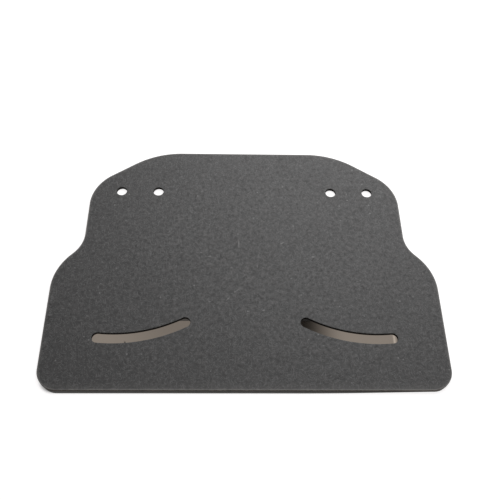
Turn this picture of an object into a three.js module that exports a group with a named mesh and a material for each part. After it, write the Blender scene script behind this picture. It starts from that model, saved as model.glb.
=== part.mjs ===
// Back protector plate: a stiff, flat fibreboard plate that lies against the wearer's back.
// Three bonded sheets share one outline, one row of strap holes and one pair of curved slots.
// Millimetres, +Z up. The plate lies face up with its underside on z = 0 and its middle at x = y = 0.
// +Y points to the narrow shoulder end and +X to the plate's right-hand side, seen from the face.

import * as THREE from "three";

// ---- driving dimensions ----
const PLATE_LENGTH = 253.5; // from the shoulder edge to the straight lower edge
const UPPER_HALF_WIDTH = 150.6; // between the shoulders, above the waist
const HIP_HALF_WIDTH = 175.2; // the wide lower part, at its top corner before rounding
const LOWER_HALF_WIDTH = 174.1; // at the lower edge, as the lower sides lean in a little

const FACE_SHEET = 0.5; // dark grey grained facing
const CORE_BOARD = 2.4; // brown pressed fibreboard
const BACK_SHEET = 0.5; // plain dark lining

const HOLE_DIAMETER = 10;
const HOLE_ROW_TO_TOP = 48.75; // from the shoulder edge down to the row of holes
const HOLE_OFFSETS = [85, 121]; // from the middle line, mirrored

const SLOT_WIDTH = 9.6;
const SLOT_RADIUS = 132; // of the slot's middle line
const SLOT_CENTRE = { x: 115, top: 75 }; // arc centre: from the middle line, and below the shoulder edge
const SLOT_FROM = -118; // degrees from +X to the slot's inner end, nearest the middle line
const SLOT_TO = -84.5; // degrees to its outer end

const ARC_STEPS = 12; // three.js makes twice this many chords on each arc

// ---- outline ----
const TOP = PLATE_LENGTH / 2;
const BOTTOM = -PLATE_LENGTH / 2;

// Corners of the right half before rounding, from the shoulder edge down, each with its radius.
const RIGHT_CORNERS = [
  { x: 89, y: TOP, radius: 83 }, // shoulder edge into the slope
  { x: UPPER_HALF_WIDTH, y: 85, radius: 42 }, // slope into the upper side
  { x: UPPER_HALF_WIDTH, y: 15, radius: 30 }, // waist, the only hollow corner
  { x: HIP_HALF_WIDTH, y: -11.5, radius: 50 }, // hip
  { x: LOWER_HALF_WIDTH, y: BOTTOM, radius: 18 }, // lower corner
];

function mirrored(corner) {
  return { ...corner, x: -corner.x };
}

// The arc that rounds corner b between a and c: its centre, and the angles where it leaves both sides.
function roundedCorner(a, b, c) {
  const corner = new THREE.Vector2(b.x, b.y);
  const toA = new THREE.Vector2(a.x, a.y).sub(corner).normalize();
  const toC = new THREE.Vector2(c.x, c.y).sub(corner).normalize();
  const half = Math.acos(toA.dot(toC)) / 2;
  const inward = toA.clone().add(toC).normalize();
  const centre = corner.clone().addScaledVector(inward, b.radius / Math.sin(half));
  const reach = b.radius / Math.tan(half);
  const start = corner.clone().addScaledVector(toA, reach).sub(centre);
  const end = corner.clone().addScaledVector(toC, reach).sub(centre);
  return { centre, from: start.angle(), to: end.angle(), clockwise: toA.cross(toC) > 0 };
}

// Runs down the left side, along the lower edge and up the right side.
function plateOutline() {
  const corners = [...RIGHT_CORNERS.map(mirrored), ...RIGHT_CORNERS.toReversed()];
  const shape = new THREE.Shape();
  corners.forEach((corner, i) => {
    const before = corners.at(i - 1);
    const after = corners[(i + 1) % corners.length];
    const arc = roundedCorner(before, corner, after);
    shape.absarc(arc.centre.x, arc.centre.y, corner.radius, arc.from, arc.to, arc.clockwise);
  });
  shape.closePath();
  return shape;
}

function strapHole(x) {
  return new THREE.Path().absarc(x, TOP - HOLE_ROW_TO_TOP, HOLE_DIAMETER / 2, 0, 2 * Math.PI);
}

// A slot of even width along an arc, with round ends; side is 1 on the right and -1 on the left.
function curvedSlot(side) {
  const x = side * SLOT_CENTRE.x;
  const y = TOP - SLOT_CENTRE.top;
  const half = SLOT_WIDTH / 2;
  const angles = [SLOT_FROM, SLOT_TO].map(THREE.MathUtils.degToRad);
  const [from, to] = side > 0 ? angles : angles.map((a) => -Math.PI - a);
  const turned = side < 0;
  const endCap = (angle, capFrom, capTo) => {
    const capX = x + SLOT_RADIUS * Math.cos(angle);
    const capY = y + SLOT_RADIUS * Math.sin(angle);
    return new THREE.EllipseCurve(capX, capY, half, half, capFrom, capTo, turned);
  };
  const rim = (radius, rimFrom, rimTo, clockwise) =>
    new THREE.EllipseCurve(x, y, radius, radius, rimFrom, rimTo, clockwise);
  const arcs = [
    rim(SLOT_RADIUS + half, from, to, turned),
    endCap(to, to, to + Math.PI),
    rim(SLOT_RADIUS - half, to, from, !turned),
    endCap(from, from + Math.PI, from),
  ];
  // Each arc starts where the one before it ends, so its last point is left to the next arc.
  return new THREE.Path(arcs.flatMap((arc) => arc.getPoints(2 * ARC_STEPS).slice(0, -1)));
}

// ---- sheets ----
function sheetGeometry(thickness) {
  const shape = plateOutline();
  for (const side of [-1, 1]) {
    shape.holes.push(...HOLE_OFFSETS.map((x) => strapHole(side * x)));
    shape.holes.push(curvedSlot(side));
  }
  const options = { depth: thickness, bevelEnabled: false, curveSegments: ARC_STEPS };
  return new THREE.ExtrudeGeometry(shape, options);
}

function sheet(name, underside, thickness, finish) {
  const material = new THREE.MeshStandardMaterial({ metalness: 0, ...finish });
  const mesh = new THREE.Mesh(sheetGeometry(thickness), material);
  mesh.name = name;
  mesh.position.z = underside;
  return mesh;
}

const plate = new THREE.Group();
plate.add(
  sheet("back_sheet", 0, BACK_SHEET, { color: 0x3a3836, roughness: 0.9 }),
  sheet("core_board", BACK_SHEET, CORE_BOARD, { color: 0x4a4039, roughness: 0.95 }),
  sheet("face_sheet", BACK_SHEET + CORE_BOARD, FACE_SHEET, { color: 0x565455, roughness: 0.8 }),
);

export default plate;
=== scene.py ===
"""Back protector plate: three bonded sheets, with four strap holes and two curved slots."""
import math

import bpy
import numpy as np
from bpy.props import FloatProperty, FloatVectorProperty, IntProperty, PointerProperty
from mathutils import Euler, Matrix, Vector
from mathutils.geometry import delaunay_2d_cdt


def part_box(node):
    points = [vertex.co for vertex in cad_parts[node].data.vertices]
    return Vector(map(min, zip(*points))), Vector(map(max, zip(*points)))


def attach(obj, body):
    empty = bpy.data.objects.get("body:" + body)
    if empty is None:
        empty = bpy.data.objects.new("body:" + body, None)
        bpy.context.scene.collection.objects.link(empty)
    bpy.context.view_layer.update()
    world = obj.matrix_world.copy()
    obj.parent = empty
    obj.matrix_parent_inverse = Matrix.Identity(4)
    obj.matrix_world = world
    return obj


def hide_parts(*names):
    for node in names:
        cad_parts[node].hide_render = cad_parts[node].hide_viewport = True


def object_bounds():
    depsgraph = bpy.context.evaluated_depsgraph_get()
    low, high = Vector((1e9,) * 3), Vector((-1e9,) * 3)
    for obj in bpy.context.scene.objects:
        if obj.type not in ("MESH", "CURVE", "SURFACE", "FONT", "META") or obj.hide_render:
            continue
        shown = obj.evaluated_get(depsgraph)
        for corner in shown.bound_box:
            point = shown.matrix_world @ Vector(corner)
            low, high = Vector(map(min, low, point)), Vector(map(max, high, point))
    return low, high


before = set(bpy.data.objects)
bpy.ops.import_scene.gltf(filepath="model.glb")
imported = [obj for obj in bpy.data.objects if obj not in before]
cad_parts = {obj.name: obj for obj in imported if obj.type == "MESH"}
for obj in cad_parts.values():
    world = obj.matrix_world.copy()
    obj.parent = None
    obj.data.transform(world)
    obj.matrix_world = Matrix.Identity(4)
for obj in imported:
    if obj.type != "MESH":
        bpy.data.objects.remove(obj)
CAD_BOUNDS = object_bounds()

bl_info = {
    "name": "Back protector plate",
    "version": (1, 0, 0),
    "blender": (4, 5, 0),
    "location": "3D View > Sidebar > Back protector",
    "description": "Makes a laminated fibreboard back protector plate and a plain studio round it",
    "category": "Object",
}

MM = 0.001

# Where two sheets are bonded, each is closed this far in from the cut, and its hidden corner is
# this sharp.
BOND_INSET = 1.2 * MM
BONDED_CORNER = 0.04 * MM

# One seed for each random pattern.
SEEDS = {
    "face_spots": 7,
    "back_spots": 8,
    "face_waves": 11,
    "core_fibres": 21,
    "core_nicks": 22,
    "back_waves": 31,
    "burr_roots": 41,
    "burr_bends": 43,
}

KEY_PLACE = (0.174, 0.468, 0.5)
KEY_SIZE = 0.8

# Most of a noise texture's values lie between these two.
NOISE_SPAN = {"From Min": 0.3, "From Max": 0.7}

# The empty array of spots, for a face that has none.
NO_SPOTS = np.empty((0, 2))

# The plate's box and the heights of its sheets come from the CAD nodes.
LOW, HIGH = (np.array(corner) for corner in CAD_BOUNDS)
HALF_WIDTH = (HIGH[0] - LOW[0]) / 2
TOP_EDGE = HIGH[1]
LOWER_EDGE = LOW[1]


# ---- colours and sizes ----
def linear(hex_colour):
    """An sRGB hex colour as linear red, green and blue."""
    srgb = np.array([int(hex_colour[i : i + 2], 16) for i in (1, 3, 5)]) / 255
    low = srgb / 12.92
    high = ((srgb + 0.055) / 1.055) ** 2.4
    return tuple(float(v) for v in np.where(srgb <= 0.04045, low, high))


def length(name, description, millimetres):
    """A length property whose default is given in millimetres."""
    return FloatProperty(
        name=name, description=description, default=millimetres * MM, unit="LENGTH", precision=5
    )


def colour(name, description, hex_colour):
    """A colour property whose default is an sRGB hex colour."""
    return FloatVectorProperty(
        name=name,
        description=description,
        default=linear(hex_colour),
        subtype="COLOR",
        min=0,
        max=1,
    )


def number(name, description, value):
    """A property that is a plain number."""
    return FloatProperty(name=name, description=description, default=value)


def angle(name, description, degrees):
    """An angle property whose default is given in degrees."""
    return FloatProperty(
        name=name, description=description, default=math.radians(degrees), subtype="ANGLE"
    )


class PlateOutline(bpy.types.PropertyGroup):
    """Where the die cuts the board: the outline's corners, the holes and the slots."""

    upper_half_width: length("Upper half width", "Half the width between the shoulders", 150.6)
    slope_start: length("Slope start", "Where the slope would leave the top edge", 89)
    shoulder_height: length("Shoulder", "Height of the corner from slope to upper side", 85)
    waist_height: length("Waist", "Height of the hollow corner", 15)
    hip_height: length("Hip", "Height of the corner from hip slope to lower side", -11.5)
    hip_half_width: length("Hip half width", "Half the width at the hip, before rounding", 175.2)
    lower_half_width: length("Lower half width", "Half the width at the lower edge", 174.1)
    top_radius: length("Top radius", "Radius from top edge to slope", 83)
    shoulder_radius: length("Shoulder radius", "Radius from slope to upper side", 42)
    waist_radius: length("Waist radius", "Radius of the hollow corner", 30)
    hip_radius: length("Hip radius", "Radius from hip slope to lower side", 50)
    corner_radius: length("Corner radius", "Radius of the lower corners", 18)
    hole_diameter: length("Hole diameter", "Diameter of the strap holes", 10)
    hole_row: length("Hole row", "From the top edge down to the row of holes", 48.75)
    inner_hole: length("Inner hole", "From the middle line to the inner hole", 85)
    outer_hole: length("Outer hole", "From the middle line to the outer hole", 121)
    slot_width: length("Slot width", "Width of the curved slots", 9.6)
    slot_radius: length("Slot radius", "Radius of a slot's middle line", 132)
    slot_centre: length("Slot centre", "From the middle line to a slot's arc centre", 115)
    slot_drop: length("Slot drop", "From the top edge down to a slot's arc centre", 75)
    slot_inner: angle("Slot inner end", "Angle of a slot's inner end about its arc centre", -118)
    slot_outer: angle("Slot outer end", "Angle of a slot's outer end about its arc centre", -84.5)


class CutEdges(bpy.types.PropertyGroup):
    """How the die leaves the cut edges, and how fine the meshes are."""

    arris: length("Arris", "Radius of the facing's cut corner", 0.2)
    roll: length("Roll", "How far the facing dips towards a cut", 0.05)
    roll_width: length("Roll width", "How far in from a cut the dip reaches", 2.6)
    face_waves: length("Face waves", "Height of the gentle waves pressed in the face", 0.05)
    core_inset: length("Core inset", "How far the core springs back behind the facing", 0.1)
    core_tear: length("Core tear", "Depth of the torn fibres on the core's cut wall", 0.12)
    step: length("Step", "Spacing of mesh points along a cut", 0.7)
    face_step: length("Face step", "Spacing of mesh points over the face", 2.2)
    burrs: IntProperty(name="Burrs", description="Torn fibres on the cut edges", default=260, min=0)


class PlateColours(bpy.types.PropertyGroup):
    """Colours of the three sheets."""

    facing: colour("Facing", "Dark grey of the grained face", "#2f2e2e")
    facing_fibre: colour("Facing fibre", "Pale fibres and flecks in the face", "#6a6969")
    # Partly wear from rubbing, partly painted highlight: the pale of the outline's arris.
    facing_rub_highlight: colour("Facing rub", "Where the outer arris is rubbed pale", "#686664")
    core: colour("Core", "Brown of the pressed fibre", "#4a443f")
    core_fibre: colour("Core fibre", "Paler strands in the cut wall", "#71675e")
    # Painted shade: the near black of the pits between the strands.
    core_pit_shade: colour("Core pit", "Dark pits between the strands", "#171412")
    lining: colour("Lining", "Plain dark lining", "#33312f")
    lining_fibre: colour("Lining fibre", "Paler fibres of the lining", "#524f4b")


class Studio(bpy.types.PropertyGroup):
    """The camera, the key light, the surround and the floor."""

    lens: number("Lens", "Focal length in mm", 48.15)
    distance: length("Distance", "From the camera to the point it looks at", 625.1)
    look_x: length("Look across", "The point looked at, across the plate", 4.5)
    look_y: length("Look along", "The point looked at, along the plate", 10.1)
    azimuth: angle("Azimuth", "Turn of the camera round the plate", 2.89)
    elevation: angle("Elevation", "Height of the camera above the plate's plane", 57.57)
    roll: angle("Roll", "Turn of the camera about its own axis", 2.81)
    key_power: number("Key", "Power of the key light in watts", 6.7)
    skyline: number("Skyline", "Surround's brightness, low down", 1.0)
    zenith: number("Zenith", "Surround's brightness, overhead", 0.2)
    floor_glow: number("Floor glow", "Glow of the lit floor", 2.35)
    # Painted shade: the dim glows of the ledge and of the recess's bottom.
    ledge_glow: number("Ledge glow", "Glow of the grey ledge", 0.16)
    pit_glow: number("Pit glow", "Glow of the recess's bottom", 0.95)
    floor: colour("Floor", "Pale floor", "#a09f9f")
    # Painted shadow: the ledge's grey shows as a dark strip in front of the lower edge.
    ledge: colour("Ledge", "Grey ledge round the recess", "#8a8886")
    # Painted shade: the warm grey that the slots show of the recess's bottom.
    recess_shade: colour("Pit", "Warm grey bottom of the recess", "#857c73")
    pit_depth: length("Pit depth", "Depth of the recess under the plate", 15)
    ledge_depth: length("Ledge depth", "Depth of the ledge round the recess", 1)
    # Painted shadow: the ledge's strip that shows in front of the lower edge.
    pit_lip: length("Pit lip", "How far the recess shows in front of the lower edge", 1.7)


# ---- cut paths ----
# A path is a closed run of points with the board on its left, so the outline runs anticlockwise and
# the holes run clockwise. The way out of the board is then to the right of the path.
def arc_points(centre, radius, start, sweep, step):
    """Points on an arc from the angle start through sweep, its last point left out."""
    count = max(3, math.ceil(radius * abs(sweep) / step))
    angles = start + sweep * np.arange(count) / count
    return centre + radius * np.stack([np.cos(angles), np.sin(angles)], axis=1)


def line_points(start, end, step):
    """Points on a straight line from start, its last point left out."""
    count = max(1, math.ceil(np.linalg.norm(end - start) / step))
    return start + (end - start) * (np.arange(count) / count)[:, None]


def rounded_path(corners, step):
    """A polygon with each corner rounded by the arc that touches both its sides.

    A corner is x, y and radius. Where half is half the corner's angle, the arc's centre lies on the
    bisector at radius / sin(half), and the arc touches the sides at radius / tan(half).
    """
    places = np.array([corner[:2] for corner in corners])
    radii = np.array([corner[2] for corner in corners])
    back = np.roll(places, 1, axis=0) - places
    ahead = np.roll(places, -1, axis=0) - places
    back /= np.linalg.norm(back, axis=1)[:, None]
    ahead /= np.linalg.norm(ahead, axis=1)[:, None]
    half = np.arccos((back * ahead).sum(axis=1)) / 2
    bisector = back + ahead
    bisector /= np.linalg.norm(bisector, axis=1)[:, None]
    centres = places + bisector * (radii / np.sin(half))[:, None]
    starts = places + back * (radii / np.tan(half))[:, None]
    ends = places + ahead * (radii / np.tan(half))[:, None]
    runs = []
    for i, centre in enumerate(centres):
        first = math.atan2(*(starts[i] - centre)[::-1])
        last = math.atan2(*(ends[i] - centre)[::-1])
        sweep = (last - first + math.pi) % (2 * math.pi) - math.pi
        runs.append(arc_points(centre, radii[i], first, sweep, step))
        runs.append(line_points(ends[i], starts[(i + 1) % len(starts)], step))
    return np.concatenate(runs)


def outline_path(shape, step):
    """The plate's outline: down the left side, along the lower edge and up the right side."""
    right = [
        (shape.slope_start, TOP_EDGE, shape.top_radius),
        (shape.upper_half_width, shape.shoulder_height, shape.shoulder_radius),
        (shape.upper_half_width, shape.waist_height, shape.waist_radius),
        (shape.hip_half_width, shape.hip_height, shape.hip_radius),
        (shape.lower_half_width, LOWER_EDGE, shape.corner_radius),
    ]
    left = [(-x, y, radius) for x, y, radius in right]
    return rounded_path(left + right[::-1], step)


def hole_path(shape, x, step):
    """A strap hole: a full circle, clockwise."""
    centre = np.array([x, TOP_EDGE - shape.hole_row])
    return arc_points(centre, shape.hole_diameter / 2, 0, -2 * math.pi, step)


def slot_path(shape, side, step):
    """A curved slot: arcs half its width each side of its middle line, joined by half circles."""
    half = shape.slot_width / 2
    centre = np.array([shape.slot_centre, TOP_EDGE - shape.slot_drop])
    inner, outer = shape.slot_inner, shape.slot_outer
    end_at = [
        centre + shape.slot_radius * np.array([math.cos(a), math.sin(a)]) for a in (inner, outer)
    ]
    run = [
        arc_points(centre, shape.slot_radius - half, inner, outer - inner, step),
        arc_points(end_at[1], half, outer + math.pi, -math.pi, step),
        arc_points(centre, shape.slot_radius + half, outer, inner - outer, step),
        arc_points(end_at[0], half, inner, -math.pi, step),
    ]
    path = np.concatenate(run)
    return path if side > 0 else (path * [-1, 1])[::-1]


def cut_paths(shape, step):
    """Every path that the die cuts, the outline first. Holes and slots get closer points."""
    fine = step * 0.7
    offsets = [side * x for side in (-1, 1) for x in (shape.inner_hole, shape.outer_hole)]
    holes = [hole_path(shape, x, fine) for x in offsets]
    slots = [slot_path(shape, side, fine) for side in (-1, 1)]
    return [outline_path(shape, step), *holes, *slots]


def way_out(path):
    """The unit way out of the board: the path's direction, turned a quarter to the right."""
    along = np.roll(path, -1, axis=0) - np.roll(path, 1, axis=0)
    along /= np.linalg.norm(along, axis=1)[:, None]
    return np.stack([along[:, 1], -along[:, 0]], axis=1)


def inside(points, path):
    """Which points lie in a closed path: a ray to the right crosses it an odd number of times."""
    x0, y0 = path.T
    x1, y1 = np.roll(path, -1, axis=0).T
    x, y = points[:, :1], points[:, 1:]
    spans = (y0 > y) != (y1 > y)
    rise = np.where(y1 == y0, 1.0, y1 - y0)
    crossing = x0 + (y - y0) / rise * (x1 - x0)
    return (spans & (x < crossing)).sum(axis=1) % 2 == 1


def on_board(points, paths):
    """Which points lie inside the outline and outside every hole and slot."""
    keep = inside(points, paths[0])
    for path in paths[1:]:
        keep &= ~inside(points, path)
    return keep


# ---- relief ----
def waves(points, shortest, longest, count, seed):
    """Smooth noise between about -1 and 1: a sum of plane waves in random directions.

    The wavelengths run evenly in ratio from shortest to longest, and each wave's height follows the
    square root of its length, so that long waves carry most of the shape.
    """
    rng = np.random.default_rng(seed)
    lengths = shortest * (longest / shortest) ** (np.arange(count) / max(1, count - 1))
    ways = rng.normal(size=(count, points.shape[1]))
    ways /= np.linalg.norm(ways, axis=1)[:, None]
    phases = rng.uniform(0, 2 * np.pi, count)
    heights = np.sqrt(lengths)
    heights /= np.sqrt((heights**2).sum() / 2) * 2
    return np.sin(points @ (ways * (2 * np.pi / lengths)[:, None]).T + phases) @ heights


def smooth(value, low, high):
    """0 below low, 1 above high, and a smooth cubic step between."""
    t = np.clip((value - low) / (high - low), 0, 1)
    return t * t * (3 - 2 * t)


# ---- meshes ----
def fill(rings, spots, paths):
    """Triangles that fill the board between its rings, through the scattered spots.

    Returns rows of three indices into the rings' points followed by the spots. Triangles whose
    middle is outside the outline, or in a hole or slot, are left out.
    """
    flat = np.concatenate([*rings, spots])
    starts = np.cumsum([0] + [len(ring) for ring in rings])
    edges = []
    for start, ring in zip(starts, rings):
        here = start + np.arange(len(ring))
        edges += np.stack([here, np.roll(here, -1)], axis=1).tolist()
    corners = [Vector(p) for p in flat.tolist()]
    whole_hull, same_point = 0, 1e-9
    _, _, faces, sources, _, _ = delaunay_2d_cdt(corners, edges, [], whole_hull, same_point)
    triangles = np.array([source[0] for source in sources])[np.array(faces)]
    middles = flat[triangles].mean(axis=1)
    return triangles[on_board(middles, paths)]


def scatter(paths, spacing, clear, seed):
    """Spots on a jittered triangular grid over the board, each more than clear from every path."""
    rng = np.random.default_rng(seed)
    rows = np.arange(LOWER_EDGE, TOP_EDGE, spacing * math.sqrt(3) / 2)
    columns = np.arange(-HALF_WIDTH, HALF_WIDTH, spacing)
    x, y = np.meshgrid(columns, rows)
    x = x + (np.arange(len(rows)) % 2)[:, None] * spacing / 2
    spots = np.stack([x.ravel(), y.ravel()], axis=1)
    spots += rng.uniform(-0.2, 0.2, spots.shape) * spacing
    spots = spots[on_board(spots, paths)]
    for path in paths:
        gaps = np.hypot(spots[:, :1] - path[:, 0], spots[:, 1:] - path[:, 1]).min(axis=1)
        spots = spots[gaps > clear]
    return spots


def wall_quads(first, points, rows):
    """Quads of a closed wall with points round its path and rows down its profile, facing out."""
    i = np.arange(points)[:, None]
    j = np.arange(rows - 1)[None, :]
    after = (i + 1) % points
    corners = [i * rows + j, i * rows + j + 1, after * rows + j + 1, after * rows + j]
    return first + np.stack(corners, axis=-1).reshape(-1, 4)


def make_object(name, vertices, faces, attributes):
    """A smooth-shaded mesh object, from vertices, a list of face arrays and values per vertex."""
    mesh = bpy.data.meshes.new(name)
    sizes = np.concatenate([np.full(len(f), f.shape[1]) for f in faces])
    corners = np.concatenate([f.ravel() for f in faces])
    mesh.vertices.add(len(vertices))
    mesh.vertices.foreach_set("co", vertices.astype(np.float32).ravel())
    mesh.loops.add(len(corners))
    mesh.loops.foreach_set("vertex_index", corners.astype(np.int32))
    mesh.polygons.add(len(sizes))
    mesh.polygons.foreach_set("loop_start", (np.cumsum(sizes) - sizes).astype(np.int32))
    mesh.polygons.foreach_set("use_smooth", np.ones(len(sizes), bool))
    for key, values in attributes.items():
        layer = mesh.attributes.new(key, "FLOAT", "POINT")
        layer.data.foreach_set("value", values.astype(np.float32))
    mesh.update(calc_edges=True)
    mesh.validate()
    made = bpy.data.objects.new(name, mesh)
    bpy.context.scene.collection.objects.link(made)
    return made


def make_sheet(name, paths, profile, upper_spots, lower_spots, shape_point):
    """A sheet of the board: a profile carried along every cut, with both faces filled between.

    The profile is rows of inset from the cut and height, from the upper face round the edge to the
    lower face. shape_point moves all points at once, given their places, insets and ways out.
    """
    insets, heights = np.array(profile).T
    rows = len(profile)
    vertices, quads, upper_rings, lower_rings = [], [], [], []
    upper_index, lower_index, edge_distance, outward, handled = [], [], [], [], []
    first = 0
    for path in paths:
        out = way_out(path)
        places = path[:, None, :] - out[:, None, :] * insets[None, :, None]
        levels = np.broadcast_to(heights[None, :, None], (len(path), rows, 1))
        vertices.append(np.concatenate([places, levels], axis=2).reshape(-1, 3))
        outward.append(np.repeat(out, rows, axis=0))
        edge_distance.append(np.tile(insets, len(path)))
        handled.append(np.full(len(path) * rows, path is paths[0]))
        quads.append(wall_quads(first, len(path), rows))
        starts = first + np.arange(len(path)) * rows
        upper_rings.append(places[:, 0])
        lower_rings.append(places[:, -1])
        upper_index.append(starts)
        lower_index.append(starts + rows - 1)
        first += len(path) * rows
    far = insets.max()
    faces = [np.concatenate(quads)]
    ends = [(upper_rings, upper_index, upper_spots, 0), (lower_rings, lower_index, lower_spots, -1)]
    for rings, index, spots, row in ends:
        numbers = np.concatenate([*index, first + np.arange(len(spots))])
        triangles = numbers[fill(rings, spots, rings)]
        faces.append(triangles if row == 0 else triangles[:, ::-1])
        vertices.append(np.column_stack([spots, np.full(len(spots), heights[row])]))
        outward.append(np.zeros((len(spots), 2)))
        edge_distance.append(np.full(len(spots), far))
        handled.append(np.zeros(len(spots), bool))
        first += len(spots)
    points = np.concatenate(vertices)
    distance = np.concatenate(edge_distance)
    points = shape_point(points, distance, np.concatenate(outward))
    # Only the outline keeps its distance from the cut; the holes and slots get the far distance.
    # The materials paint the arris's highlight and the shade in the holes and slots from it.
    rim = np.where(np.concatenate(handled), distance, far) / MM
    return make_object(name, points, faces, {"rim_mm": rim})


def rounded_end(radius, height, up, steps=5):
    """Profile rows round a quarter circle: down from an upper face to the cut if up, and otherwise
    down from the cut to a lower face."""
    turn = np.linspace(0, math.pi / 2, steps)
    inset = radius * (1 - np.sin(turn))
    level = radius * (1 - np.cos(turn))
    rows = np.column_stack([inset, height - level if up else height + level])
    return rows if up else rows[::-1]


# ---- materials ----
def add_node(tree, kind, inputs=None, **settings):
    """Adds a node with its settings; each input is a value, or a node or socket to link from."""
    node = tree.nodes.new(kind)
    for name, value in settings.items():
        setattr(node, name, value)
    for key, value in (inputs or {}).items():
        if isinstance(value, bpy.types.Node):
            value = value.outputs[0]
        if isinstance(value, bpy.types.NodeSocket):
            tree.links.new(value, node.inputs[key])
        else:
            node.inputs[key].default_value = value
    return node


def new_material(name, **sockets):
    """A material with one Principled shader, whose fixed values are set on its own sockets."""
    material = bpy.data.materials.new(name)
    material.use_nodes = True
    tree = material.node_tree
    tree.nodes.clear()
    shader = add_node(tree, "ShaderNodeBsdfPrincipled")
    for socket, value in sockets.items():
        shader.inputs[socket.replace("_", " ")].default_value = value
    add_node(tree, "ShaderNodeOutputMaterial", {"Surface": shader})
    return material, tree, shader


def per_mm(millimetres):
    """The scale that gives a noise a feature of this size, on coordinates in metres."""
    return 1 / (millimetres * MM)


def opaque(rgb):
    """A colour property as the four numbers that a colour socket takes."""
    return (*rgb, 1.0)


def strands(tree, coords, turn, size, keep):
    """Fibres that lie one way: noise drawn out along a line at this turn, kept only near its peaks.

    size is the fibre's length and width in mm, and keep is the pair of noise values between which a
    fibre fades in.
    """
    along, across = size
    turned = add_node(
        tree,
        "ShaderNodeMapping",
        {
            "Vector": coords,
            "Rotation": (0, 0, math.radians(turn)),
            "Scale": (along * MM, across * MM, along * MM),
        },
        vector_type="TEXTURE",
    )
    noise = add_node(tree, "ShaderNodeTexNoise", {"Vector": turned, "Scale": 1.0, "Detail": 1.0})
    limits = {"Value": noise.outputs["Fac"], "From Min": keep[0], "From Max": keep[1]}
    return add_node(tree, "ShaderNodeMapRange", limits, interpolation_type="SMOOTHSTEP")


def rubbed_patch(tree, coords, place, turn, size):
    """A rubbed mark on the face: 1 in the middle of an ellipse, fading to 0 at its rim.

    place is its middle and size its length and width, all in mm.
    """
    local = add_node(
        tree,
        "ShaderNodeMapping",
        {
            "Vector": coords,
            "Location": (place[0] * MM, place[1] * MM, 0),
            "Rotation": (0, 0, math.radians(turn)),
            "Scale": (size[0] * MM / 2, size[1] * MM / 2, 1),
        },
        vector_type="TEXTURE",
    )
    reach = add_node(tree, "ShaderNodeVectorMath", {0: local}, operation="LENGTH")
    limits = {"Value": reach.outputs["Value"], "From Min": 1.0, "From Max": 0.2}
    return add_node(tree, "ShaderNodeMapRange", limits, interpolation_type="SMOOTHSTEP")


def combined(tree, sockets, operation):
    """All the sockets joined two by two with one math operation."""
    total = sockets[0]
    for socket in sockets[1:]:
        total = add_node(tree, "ShaderNodeMath", {0: total, 1: socket}, operation=operation)
    return total


# Marks on the face: middle x and y, turn in degrees, length and width, all in mm.
RUBBED_MARKS = [
    (-41, 7, -20, 4, 1.5),
    (-33, 3, 15, 5, 1.5),
    (-32, -44.5, 0, 3.5, 1.8),
    (2, -54, 0, 3.5, 1.6),
    (16, -53, 10, 4.5, 1.9),
    (-6, 17, 90, 10, 1.3),
    (-7.5, -33, 35, 8, 1.7),
    (-16, -42, 50, 7, 1.6),
    (63, 3, 10, 5, 2.5),
    (11, -8, 90, 5, 1.4),
    (-7, 28, 0, 3.5, 2),
    (35, 18, 30, 6, 2),
]


def sparse_flecks(tree, coords):
    """Pale flecks: a small soft dot in about a tenth of the cells of a 4.2 mm scatter."""
    cells = add_node(tree, "ShaderNodeTexVoronoi", {"Vector": coords, "Scale": per_mm(4.2)})
    chosen = add_node(tree, "ShaderNodeSeparateColor", {"Color": cells.outputs["Color"]})
    picked = add_node(
        tree,
        "ShaderNodeMapRange",
        {"Value": chosen.outputs["Red"], "From Min": 0.9, "From Max": 1.0},
    )
    dot = add_node(
        tree,
        "ShaderNodeMapRange",
        {"Value": cells.outputs["Distance"], "From Min": 0.26, "From Max": 0.08},
        interpolation_type="SMOOTHSTEP",
    )
    return combined(tree, [picked, dot], "MULTIPLY")


def arris_rub_and_highlight(tree, coords):
    """How pale the facing is along the outline's arris, from its distance in from the cut: partly
    wear from rubbing and partly painted highlight.
    """
    edge = add_node(tree, "ShaderNodeAttribute", attribute_name="rim_mm")
    edge_tone = add_node(
        tree,
        "ShaderNodeMapRange",
        {"Value": edge.outputs["Fac"], "From Min": 1.7, "From Max": 0.2, "To Max": 0.9},
        interpolation_type="SMOOTHSTEP",
    )
    # A fainter band reaches in further, and furthest at the lower edge, where it is a painted
    # highlight of the light that the rounded cut catches.
    near_edge = {"Value": edge.outputs["Fac"], "From Min": 2.8, "From Max": 0.8, "To Max": 0.13}
    band = add_node(tree, "ShaderNodeMapRange", near_edge)
    along = add_node(tree, "ShaderNodeSeparateXYZ", {"Vector": coords}).outputs["Y"]
    near_foot = {"Value": along, "From Min": LOWER_EDGE + 8 * MM, "From Max": LOWER_EDGE + 1 * MM}
    foot_highlight = add_node(tree, "ShaderNodeMapRange", {**near_foot, "To Max": 0.15})
    return combined(tree, [edge_tone, band, foot_highlight], "MAXIMUM")


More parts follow.
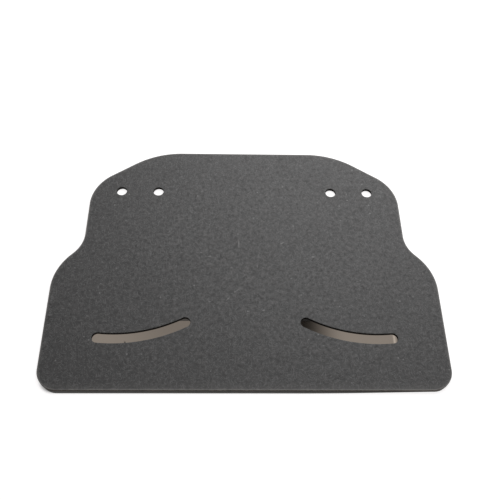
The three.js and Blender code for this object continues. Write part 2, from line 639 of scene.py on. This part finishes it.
def facing_material(colours):
    """Latex-bonded fibreboard, calendered: a matte, nearly black grey that looks finely mottled
    because pale fibres lie pressed flat in it every way. The outline's arris is paler, partly from
    wear by rubbing and partly as a painted highlight."""
    material, tree, shader = new_material(
        "calendered_latex_fibreboard", Specular_IOR_Level=0.62, IOR=1.5
    )
    coords = add_node(tree, "ShaderNodeTexCoord").outputs["Object"]
    # Bends the straight strands a little, as real fibres bend.
    bend = add_node(
        tree, "ShaderNodeTexNoise", {"Vector": coords, "Scale": per_mm(5), "Detail": 1.0}
    )
    bent = add_node(
        tree,
        "ShaderNodeVectorMath",
        {0: bend.outputs["Color"], 1: (2.2 * MM,) * 3, 2: coords},
        operation="MULTIPLY_ADD",
    )
    # Fibres of 0.1 mm are too fine to show, so they are drawn 0.7 to 0.9 mm wide.
    layers = [(8, (4.5, 0.8)), (52, (3.6, 0.7)), (97, (5.0, 0.9)), (141, (4.0, 0.8))]
    laid = [strands(tree, bent, turn, size, (0.58, 0.72)) for turn, size in layers]
    fibres = combined(tree, laid, "MAXIMUM")
    grain = add_node(
        tree, "ShaderNodeTexNoise", {"Vector": coords, "Scale": per_mm(3.6), "Detail": 1.0}
    )
    mottle = add_node(
        tree, "ShaderNodeTexNoise", {"Vector": coords, "Scale": per_mm(7.5), "Detail": 2.0}
    )
    clouds = add_node(
        tree, "ShaderNodeTexNoise", {"Vector": coords, "Scale": per_mm(70), "Detail": 2.0}
    )
    flecks = sparse_flecks(tree, coords)
    # Tone is 1 on average and swings with the clouds, the mottling and the grain.
    tone = add_node(
        tree,
        "ShaderNodeMapRange",
        {"Value": clouds.outputs["Fac"], **NOISE_SPAN, "To Min": 0.9, "To Max": 1.1},
    )
    mottling = add_node(
        tree,
        "ShaderNodeMapRange",
        {"Value": mottle.outputs["Fac"], **NOISE_SPAN, "To Min": 0.58, "To Max": 1.42},
    )
    graining = add_node(
        tree,
        "ShaderNodeMapRange",
        {"Value": grain.outputs["Fac"], **NOISE_SPAN, "To Min": 0.4, "To Max": 1.6},
    )
    swing = combined(tree, [tone, mottling, graining], "MULTIPLY")
    # The pattern is boldest in the middle of the face, which is handled most, and fades outwards.
    handled = rubbed_patch(tree, coords, (40, 0), 0, (600, 400))
    boldness = add_node(
        tree, "ShaderNodeMapRange", {"Value": handled, "To Min": 0.4, "To Max": 1.08}
    )
    swing = add_node(
        tree,
        "ShaderNodeMix",
        {"Factor": boldness, "A": 1.0, "B": swing},
        data_type="FLOAT",
        clamp_factor=False,
    )
    toned = add_node(
        tree,
        "ShaderNodeVectorMath",
        {0: tuple(colours.facing), "Scale": swing},
        operation="SCALE",
    )
    # Marks show through the grain, so they are strongest where it is high.
    marks = [rubbed_patch(tree, coords, m[:2], m[2], m[3:]) for m in RUBBED_MARKS]
    rubbed = combined(tree, [combined(tree, marks, "MAXIMUM"), grain.outputs["Fac"]], "MULTIPLY")
    pale = add_node(
        tree, "ShaderNodeMath", {0: fibres, 1: 0.4, 2: flecks}, operation="MULTIPLY_ADD"
    )
    pale = add_node(
        tree,
        "ShaderNodeMath",
        {0: rubbed, 1: 1.6, 2: pale},
        operation="MULTIPLY_ADD",
        use_clamp=True,
    )
    fibred = add_node(
        tree,
        "ShaderNodeMix",
        {"Factor": pale, "A": toned, "B": opaque(colours.facing_fibre)},
        data_type="RGBA",
    )
    # The pale arris along the outline: partly wear from rubbing, partly painted highlight.
    rubbed_and_lit = combined(tree, [arris_rub_and_highlight(tree, coords), mottling], "MULTIPLY")
    base = add_node(
        tree,
        "ShaderNodeMix",
        {"Factor": rubbed_and_lit, "A": fibred.outputs["Result"], "B": opaque(colours.facing_rub_highlight)},
        data_type="RGBA",
    )
    tree.links.new(base.outputs["Result"], shader.inputs["Base Color"])
    roughness = add_node(
        tree,
        "ShaderNodeMapRange",
        {"Value": mottle.outputs["Fac"], **NOISE_SPAN, "To Min": 0.6, "To Max": 0.72},
    )
    tree.links.new(roughness.outputs[0], shader.inputs["Roughness"])
    height = add_node(
        tree,
        "ShaderNodeMath",
        {0: fibres, 1: 0.25, 2: grain.outputs["Fac"]},
        operation="MULTIPLY_ADD",
    )
    height = add_node(
        tree,
        "ShaderNodeMath",
        {0: mottle.outputs["Fac"], 1: 1.6, 2: height},
        operation="MULTIPLY_ADD",
    )
    bump = add_node(
        tree, "ShaderNodeBump", {"Height": height, "Strength": 1.0, "Distance": 0.1 * MM}
    )
    tree.links.new(bump.outputs[0], shader.inputs["Normal"])
    return material


def core_material(colours):
    """Pressed cellulose board, die-cut: its wall looks dull brown and fibrous, in thin layers that
    lie along the board. Pits where fibres tore out get painted shade, near black."""
    material, tree, shader = new_material(
        "die_cut_pressed_fibre", Specular_IOR_Level=0.15, Roughness=0.95
    )
    coords = add_node(tree, "ShaderNodeTexCoord").outputs["Object"]
    # Layers are 0.35 mm thick and several millimetres long.
    flattened = add_node(
        tree,
        "ShaderNodeMapping",
        {"Vector": coords, "Scale": (per_mm(2.4), per_mm(2.4), per_mm(0.35))},
    )
    layers = add_node(
        tree, "ShaderNodeTexNoise", {"Vector": flattened, "Scale": 1.0, "Detail": 3.0}
    )
    pits = add_node(
        tree, "ShaderNodeTexNoise", {"Vector": coords, "Scale": per_mm(0.9), "Detail": 3.0}
    )
    strand = add_node(
        tree,
        "ShaderNodeMapRange",
        {"Value": layers.outputs["Fac"], "From Min": 0.45, "From Max": 0.7},
    )
    # Painted shade: the pits are painted near black.
    hollow = add_node(
        tree,
        "ShaderNodeMapRange",
        {"Value": pits.outputs["Fac"], "From Min": 0.5, "From Max": 0.32},
    )
    body = add_node(
        tree,
        "ShaderNodeMix",
        {"Factor": strand, "A": opaque(colours.core), "B": opaque(colours.core_fibre)},
        data_type="RGBA",
    )
    pitted = add_node(
        tree,
        "ShaderNodeMix",
        {"Factor": hollow, "A": body.outputs["Result"], "B": opaque(colours.core_pit_shade)},
        data_type="RGBA",
    )
    # Painted shade: the walls of the holes and slots are darkened to under a fifth of the outer
    # edge's colour.
    edge = add_node(tree, "ShaderNodeAttribute", attribute_name="rim_mm")
    edge_tone = add_node(
        tree,
        "ShaderNodeMapRange",
        {"Value": edge.outputs["Fac"], "From Min": 0.9, "From Max": 0.4, "To Min": 0.18},
    )
    base = add_node(
        tree,
        "ShaderNodeVectorMath",
        {0: pitted.outputs["Result"], "Scale": edge_tone},
        operation="SCALE",
    )
    tree.links.new(base.outputs[0], shader.inputs["Base Color"])
    bump = add_node(
        tree,
        "ShaderNodeBump",
        {"Height": layers.outputs["Fac"], "Strength": 0.8, "Distance": 0.2 * MM},
    )
    tree.links.new(bump.outputs[0], shader.inputs["Normal"])
    return material


def lining_material(colours):
    """Needled non-woven lining: soft and dull, a felt of fine fibres that lie every way."""
    material, tree, shader = new_material(
        "needled_nonwoven_lining",
        Specular_IOR_Level=0.2,
        Roughness=0.92,
        Sheen_Weight=0.15,
        Sheen_Roughness=0.5,
    )
    coords = add_node(tree, "ShaderNodeTexCoord").outputs["Object"]
    layers = [(20, (6, 0.5)), (75, (5, 0.45)), (128, (6.5, 0.55))]
    laid = [strands(tree, coords, turn, size, (0.52, 0.68)) for turn, size in layers]
    fibres = combined(tree, laid, "MAXIMUM")
    felt = add_node(
        tree, "ShaderNodeTexNoise", {"Vector": coords, "Scale": per_mm(2.0), "Detail": 4.0}
    )
    swing = add_node(
        tree,
        "ShaderNodeMapRange",
        {"Value": felt.outputs["Fac"], **NOISE_SPAN, "To Min": 0.7, "To Max": 1.3},
    )
    toned = add_node(
        tree, "ShaderNodeVectorMath", {0: tuple(colours.lining), "Scale": swing}, operation="SCALE"
    )
    share = add_node(tree, "ShaderNodeMath", {0: fibres, 1: 0.5}, operation="MULTIPLY")
    base = add_node(
        tree,
        "ShaderNodeMix",
        {"Factor": share, "A": toned, "B": opaque(colours.lining_fibre)},
        data_type="RGBA",
    )
    tree.links.new(base.outputs["Result"], shader.inputs["Base Color"])
    bump = add_node(
        tree, "ShaderNodeBump", {"Height": fibres, "Strength": 0.7, "Distance": 0.15 * MM}
    )
    tree.links.new(bump.outputs[0], shader.inputs["Normal"])
    return material


def table_material(name, rgb, roughness, glow):
    """Opal acrylic over lamps: even and pale, with a soft glow, so that only the plate catches the
    eye. The glow follows the share attribute, which is 1 on the open floor; below 1 it paints
    shade and above 1 it paints light."""
    material, tree, shader = new_material(name, Base_Color=opaque(rgb), Roughness=roughness)
    shader.inputs["Emission Color"].default_value = opaque(rgb)
    share = add_node(tree, "ShaderNodeAttribute", attribute_name="share")
    strength = add_node(
        tree, "ShaderNodeMath", {0: share.outputs["Fac"], 1: glow}, operation="MULTIPLY"
    )
    tree.links.new(strength.outputs[0], shader.inputs["Emission Strength"])
    return material


# ---- pieces ----
def finish_piece(piece, material, slot, *nodes):
    """Gives a piece its material and body, and hides the CAD nodes that it stands for; slot is not
    used.
    """
    piece.data.materials.append(material)
    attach(piece, "root")
    if nodes:
        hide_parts(*nodes)


def face_profile(edges, low, high):
    """The facing's edge: a shallow dip, a rounded arris, a short wall and the bonded underside.

    Over the dip the height falls with the square of the share of the way to the cut.
    """
    reach = edges.roll_width + edges.arris
    dip = np.linspace(0, 1, 7)
    rows = np.column_stack([reach + (edges.arris - reach) * dip, high - edges.roll * dip**2])
    tip = rounded_end(edges.arris, high - edges.roll, True)
    hidden = rounded_end(BONDED_CORNER, low, False, 3)
    return np.concatenate([rows[:-1], tip, hidden, [[BOND_INSET, low]]])


class PROTECTOR_OT_face_sheet(bpy.types.Operator):
    """Makes the grained facing, with a rounded arris at every cut"""

    bl_idname = "protector.face_sheet"
    bl_label = "Face sheet"

    def execute(self, context):
        edges, shape = context.scene.cut_edges, context.scene.plate_outline
        low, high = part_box("face_sheet")
        paths = cut_paths(shape, edges.step)
        profile = face_profile(edges, low.z, high.z)
        reach = profile[0, 0]
        clear = reach + 0.6 * edges.face_step
        spots = scatter(paths, edges.face_step, clear, SEEDS["face_spots"])
        upper = high.z - edges.roll - edges.arris

        def shaped(points, distance, out):
            share = smooth(points[:, 2], upper, high.z) * smooth(distance, 0, reach)
            rise = waves(points[:, :2], 14 * MM, 90 * MM, 26, SEEDS["face_waves"]) - 1
            points[:, 2] += edges.face_waves * rise * share
            return points

        piece = make_sheet("grained_face", paths, profile, spots, NO_SPOTS, shaped)
        material = facing_material(context.scene.plate_colours)
        finish_piece(piece, material, "grained_facing", "face_sheet")
        return {"FINISHED"}


class PROTECTOR_OT_core_board(bpy.types.Operator):
    """Makes the fibre core, whose cut wall is torn and layered"""

    bl_idname = "protector.core_board"
    bl_label = "Core board"

    def execute(self, context):
        edges, shape = context.scene.cut_edges, context.scene.plate_outline
        low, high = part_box("core_board")
        paths = cut_paths(shape, 0.75 * edges.step)
        soft = 0.08 * MM
        wall = np.linspace(high.z - soft, low.z + soft, 9)[1:-1]
        straight = np.column_stack([np.zeros(len(wall)), wall])
        upper = [[[BOND_INSET, high.z]], rounded_end(soft, high.z, True, 3)]
        lower = [rounded_end(soft, low.z, False, 3), [[BOND_INSET, low.z]]]
        profile = np.concatenate([*upper, straight, *lower])
        profile[:, 0] += edges.core_inset

        def shaped(points, distance, out):
            # Heights are stretched six times, so that the waves lie in thin layers along the board.
            layered = points * [1, 1, 6]
            fibres = waves(layered, 1.6 * MM, 9 * MM, 40, SEEDS["core_fibres"])
            nicks = waves(points[:, :2], 1.2 * MM, 4 * MM, 24, SEEDS["core_nicks"])
            depth = edges.core_tear * np.clip(0.5 + 0.35 * fibres + 0.25 * nicks, 0, 1)
            open_wall = smooth(distance, 0.9 * MM, 0.3 * MM)
            points[:, :2] -= out * (depth * open_wall)[:, None]
            return points

        piece = make_sheet("fibre_core", paths, profile, NO_SPOTS, NO_SPOTS, shaped)
        finish_piece(piece, core_material(context.scene.plate_colours), "fibre_core", "core_board")
        return {"FINISHED"}


class PROTECTOR_OT_back_sheet(bpy.types.Operator):
    """Makes the plain lining under the plate"""

    bl_idname = "protector.back_sheet"
    bl_label = "Back sheet"

    def execute(self, context):
        edges, shape = context.scene.cut_edges, context.scene.plate_outline
        low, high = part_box("back_sheet")
        paths = cut_paths(shape, edges.step)
        corner, reach = 0.2 * MM, 1.6 * MM
        upper = [[[BOND_INSET, high.z]], rounded_end(BONDED_CORNER, high.z, True, 3)]
        lower = [rounded_end(corner, low.z, False, 4), [[reach, low.z]]]
        profile = np.concatenate([*upper, *lower])
        spots = scatter(paths, 2 * edges.face_step, reach + edges.face_step, SEEDS["back_spots"])

        def shaped(points, distance, out):
            share = smooth(points[:, 2], low.z + corner, low.z) * smooth(distance, 0, reach)
            rise = waves(points[:, :2], 12 * MM, 60 * MM, 20, SEEDS["back_waves"]) + 1
            points[:, 2] += 0.02 * MM * rise * share
            return points

        piece = make_sheet("plain_back", paths, profile, NO_SPOTS, spots, shaped)
        material = lining_material(context.scene.plate_colours)
        finish_piece(piece, material, "plain_lining", "back_sheet")
        return {"FINISHED"}


def slivers(roots, out, lengths, widths, seed):
    """Bent, tapering slivers, one from each root, as one array of points and one of quads.

    Each is a square section carried along a curve that leaves the wall and bends aside by up to its
    own length; the section shrinks evenly to a tenth at the tip, and both ends are closed.
    """
    rng = np.random.default_rng(seed)
    count, rows, sides = len(roots), 5, 4
    along = np.cross(out, [0, 0, 1])
    side_way = along * rng.uniform(-1, 1, (count, 1))
    side_way = side_way + [0, 0, 1] * rng.uniform(-0.5, 0.3, (count, 1))
    t = np.linspace(0, 1, rows)[None, :, None]
    spine = roots[:, None] + lengths[:, None, None] * (
        out[:, None] * t + side_way[:, None] * t * t * 0.8
    )
    turn = 2 * np.pi * np.arange(sides)[None, :, None] / sides
    ring = np.cos(turn) * along[:, None] + np.sin(turn) * np.array([0, 0, 1.0])
    taper = (1 - 0.9 * t) * widths[:, None, None] / 2
    points = spine[:, :, None] + ring[:, None] * taper[..., None]
    i = np.arange(count)[:, None, None] * rows * sides
    j = np.arange(rows - 1)[None, :, None] * sides
    k = np.arange(sides)[None, None, :]
    after = (k + 1) % sides
    walls = np.stack([i + j + k, i + j + after, i + j + sides + after, i + j + sides + k], axis=-1)
    start = np.arange(count)[:, None] * rows * sides
    base = start + np.arange(sides)[::-1]
    tip = start + (rows - 1) * sides + np.arange(sides)
    return points.reshape(-1, 3), [walls.reshape(-1, 4), base, tip]


class PROTECTOR_OT_edge_burrs(bpy.types.Operator):
    """Makes the torn fibres that the die leaves on the cut edges, and the tuft in the left slot"""

    bl_idname = "protector.edge_burrs"
    bl_label = "Edge burrs"

    def execute(self, context):
        edges, shape = context.scene.cut_edges, context.scene.plate_outline
        low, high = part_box("core_board")
        rng = np.random.default_rng(SEEDS["burr_roots"])
        paths = cut_paths(shape, 0.2 * MM)
        path = np.concatenate(paths)
        out = np.concatenate([way_out(p) for p in paths])
        # The slots and holes keep more torn fibres than the outline, which is handled.
        weight = np.concatenate([[0.2] * len(paths[0]), *[[1.0] * len(p) for p in paths[1:]]])
        picks = rng.choice(len(path), edges.burrs, replace=False, p=weight / weight.sum())
        lengths = rng.uniform(0.15, 0.55, edges.burrs) * MM
        # The tuft: six longer slivers side by side on the left slot's lower rim.
        tuft = np.array([1.2, 1.9, 2.3, 2.1, 1.6, 1.0]) * MM
        tuft_at = np.array([-103.6, -84.5]) * MM
        nearest = int(np.argmin(np.hypot(*(path - tuft_at).T)))
        picks = np.concatenate([picks, nearest + np.arange(-3, 3)])
        lengths = np.concatenate([lengths, tuft])
        in_tuft = np.arange(len(picks)) >= edges.burrs
        widths = np.where(in_tuft, 0.8 * MM, 0.1 * MM)
        heights = rng.uniform(low.z + 0.3 * MM, high.z - 0.2 * MM, len(picks))
        heights[in_tuft] = np.linspace(high.z - 0.4 * MM, high.z - 0.1 * MM, len(tuft))
        roots = path[picks] - out[picks] * (edges.core_inset + 1.5 * edges.core_tear)
        roots = np.column_stack([roots, heights])
        outward = np.column_stack([out[picks], np.zeros(len(picks))])
        points, faces = slivers(roots, outward, lengths, widths, SEEDS["burr_bends"])
        # At 0.8 mm the core's painted shade leaves its colour a third as strong as at the outer
        # edge. In the slots' walls it is a fifth.
        piece = make_object("edge_burrs", points, faces, {"rim_mm": np.full(len(points), 0.8)})
        finish_piece(piece, bpy.data.materials["die_cut_pressed_fibre"], "fibre_core")
        return {"FINISHED"}


# ---- stage ----
def floor_surface(studio):
    """A pale floor with a shallow recess under the plate, so that the slots look into shade. The
    ledge's grey and the bottom's warm grey are coloured as painted shade.

    A rounded path bounds the recess. Outside it the floor runs out along rays to a far circle.
    Inside it a low wall drops to a ledge, and a second wall to the level bottom. Rows of rings
    carry the path from one to the next. Returns the points, the faces, how many rows there are,
    and which row begins the ledge and which the bottom.
    """
    front = LOWER_EDGE - studio.pit_lip
    # The front runs straight as far as a bend of 3 m radius, then draws in under the right corner.
    corners = [
        (-0.86 * HALF_WIDTH, 0.36 * LOWER_EDGE, 12 * MM),
        (-HALF_WIDTH - 0.3 * MM, front, 15 * MM),
        (0.41 * HALF_WIDTH, front, 3),
        (HALF_WIDTH, front + 1.9 * MM, 13 * MM),
        (0.86 * HALF_WIDTH, 0.36 * LOWER_EDGE, 12 * MM),
    ]
    path = rounded_path(corners, 1.5 * MM)
    inward = -way_out(path)
    middle = np.array([0, 0.7 * LOWER_EDGE])
    ray = path - middle
    reach, outer, inner_rings = 9, 26, 150
    far = middle + reach * ray / np.linalg.norm(ray, axis=1)[:, None]
    lip, ledge = 0.1 * MM, 9 * MM
    low, bottom = -studio.ledge_depth, -studio.pit_depth
    rows = [(far + (path - far) * share, 0) for share in 1 - np.geomspace(1, 0.0004, outer)]
    rows += [(path, 0), (path + inward * lip, -lip), (path + inward * lip, low)]
    rows += [(path + inward * ledge, low), (path + inward * ledge, bottom)]
    inner = path + inward * ledge - middle
    rows += [(middle + inner * share, bottom) for share in np.linspace(0.985, 0.01, inner_rings)]
    grid = np.stack([np.column_stack([ring, np.full(len(ring), z)]) for ring, z in rows], axis=1)
    count = len(path)
    last = np.arange(count) * len(rows) + len(rows) - 1
    fan = np.stack([last, np.roll(last, -1), np.full(count, count * len(rows))], axis=1)
    points = np.concatenate([grid.reshape(-1, 3), [[*middle, bottom]]])
    quads = wall_quads(0, count, len(rows))[:, ::-1]
    return points, [quads, fan], len(rows), (outer, outer + 4)


def softbox(name, place, size, power):
    """A square area light at a place, pointed at the middle of the plate."""
    light = bpy.data.lights.new(name, "AREA")
    light.size = size
    light.energy = power
    lamp = bpy.data.objects.new(name, light)
    lamp.visible_camera = False
    lamp.location = place
    lamp.rotation_euler = (-Vector(place)).to_track_quat("-Z", "Y").to_euler()
    bpy.context.scene.collection.objects.link(lamp)


class PROTECTOR_OT_stage(bpy.types.Operator):
    """Makes the floor, the key light, the white surround and the camera"""

    bl_idname = "protector.stage"
    bl_label = "Stage"

    def execute(self, context):
        scene, studio = context.scene, context.scene.studio
        points, faces, rows, (ledge, bottom) = floor_surface(studio)
        across, deep = points[:, 0], points[:, 2] < -2 * studio.ledge_depth
        # Painted shade and light on the recess's glow: a painted shadow at the right slot's inner
        # end, where nothing stands, and a painted highlight as a thin sliver at its outer end.
        # Under the left slot the glow fades inwards as painted shade.
        shade = smooth(across, 20 * MM, 40 * MM) * smooth(across, 92 * MM, 53 * MM)
        dim = smooth(across, -130 * MM, -60 * MM) * (across < 0)
        lit_sliver = smooth(across, 132.4 * MM, 133.4 * MM) * smooth(across, 135.6 * MM, 134 * MM)
        share = 1 + deep * (0.85 * lit_sliver - 0.97 * shade - 0.28 * dim)
        # Painted shadow: past the left lower corner the lip ring's glow is cut, standing in for the
        # key light's soft shadow.
        corner = smooth(across, -154 * MM, -166 * MM) * smooth(points[:, 1], -115 * MM, -122 * MM)
        at_lip = np.arange(len(points)) % rows == ledge
        share -= 0.8 * corner * at_lip
        floor = make_object("studio_floor", points, faces, {"share": share})
        paints = [
            ("opal_table", studio.floor, 0.7, studio.floor_glow),
            # Painted shadow: the ledge's dim grey in front of the lower edge.
            ("painted_shadow_ledge", studio.ledge, 0.9, studio.ledge_glow),
            # Painted shade: the recess's bottom glows a dim warm grey.
            ("painted_shade_recess", studio.recess_shade, 0.9, studio.pit_glow),
        ]
        for paint in paints:
            floor.data.materials.append(table_material(*paint))
        strip = np.arange(rows - 1)
        strip = (strip >= ledge) * 1 + (strip >= bottom) * 1
        index = np.concatenate([np.tile(strip, len(faces[1])), np.full(len(faces[1]), 2)])
        floor.data.polygons.foreach_set("material_index", index.astype(np.int32))
        floor.data.polygons.foreach_set("use_smooth", np.zeros(len(index), bool))
        softbox("key_softbox", KEY_PLACE, KEY_SIZE, studio.key_power)
        world = bpy.data.worlds.new("white_surround")
        scene.world = world
        world.use_nodes = True
        tree = world.node_tree
        background = tree.nodes["Background"]
        background.inputs["Color"].default_value = (1, 1, 1, 1)
        # White low down and dimmer overhead, so that the key light shapes the face.
        way = add_node(tree, "ShaderNodeTexCoord").outputs["Generated"]
        height = add_node(tree, "ShaderNodeSeparateXYZ", {"Vector": way}).outputs["Z"]
        fade = {"Value": height, "From Min": 0.1, "From Max": 0.45}
        fade |= {"To Min": studio.skyline, "To Max": studio.zenith}
        strength = add_node(tree, "ShaderNodeMapRange", fade, interpolation_type="SMOOTHSTEP")
        tree.links.new(strength.outputs[0], background.inputs["Strength"])
        scene.view_settings.view_transform = "Standard"
        self.add_camera(scene, studio)
        return {"FINISHED"}

    def add_camera(self, scene, studio):
        """Puts the camera on a sphere round the point it looks at, and rolls it about its axis."""
        data = bpy.data.cameras.new("camera")
        data.sensor_width = 36
        data.lens = studio.lens
        camera = bpy.data.objects.new("camera", data)
        scene.collection.objects.link(camera)
        level = math.cos(studio.elevation)
        towards = Vector(
            (
                level * math.sin(studio.azimuth),
                level * math.cos(studio.azimuth),
                -math.sin(studio.elevation),
            )
        )
        target = Vector((studio.look_x, studio.look_y, HIGH[2]))
        camera.location = target - towards * studio.distance
        upright = towards.to_track_quat("-Z", "Y")
        camera.rotation_euler = (upright @ Euler((0, 0, studio.roll)).to_quaternion()).to_euler()
        scene.camera = camera


# ---- panel and registration ----
OPERATORS = [
    PROTECTOR_OT_face_sheet,
    PROTECTOR_OT_core_board,
    PROTECTOR_OT_back_sheet,
    PROTECTOR_OT_edge_burrs,
    PROTECTOR_OT_stage,
]
SETTINGS = {
    "plate_outline": PlateOutline,
    "cut_edges": CutEdges,
    "plate_colours": PlateColours,
    "studio": Studio,
}


class PROTECTOR_PT_panel(bpy.types.Panel):
    """Lists the plate's pieces and the stage"""

    bl_label = "Back protector plate"
    bl_space_type = "VIEW_3D"
    bl_region_type = "UI"
    bl_category = "Back protector"

    def draw(self, context):
        for operator in OPERATORS:
            self.layout.operator(operator.bl_idname)
        for name, group in SETTINGS.items():
            box = self.layout.box()
            box.label(text=name.replace("_", " ").capitalize())
            for key in group.__annotations__:
                box.prop(getattr(context.scene, name), key)


def register():
    for cls in [*SETTINGS.values(), *OPERATORS, PROTECTOR_PT_panel]:
        bpy.utils.register_class(cls)
    for name, group in SETTINGS.items():
        setattr(bpy.types.Scene, name, PointerProperty(type=group))


def unregister():
    for name in SETTINGS:
        delattr(bpy.types.Scene, name)
    for cls in reversed([*SETTINGS.values(), *OPERATORS, PROTECTOR_PT_panel]):
        bpy.utils.unregister_class(cls)


def main():
    register()
    bpy.ops.protector.stage()
    bpy.ops.protector.face_sheet()
    bpy.ops.protector.core_board()
    bpy.ops.protector.back_sheet()
    bpy.ops.protector.edge_burrs()


if __name__ == "__main__":
    main()
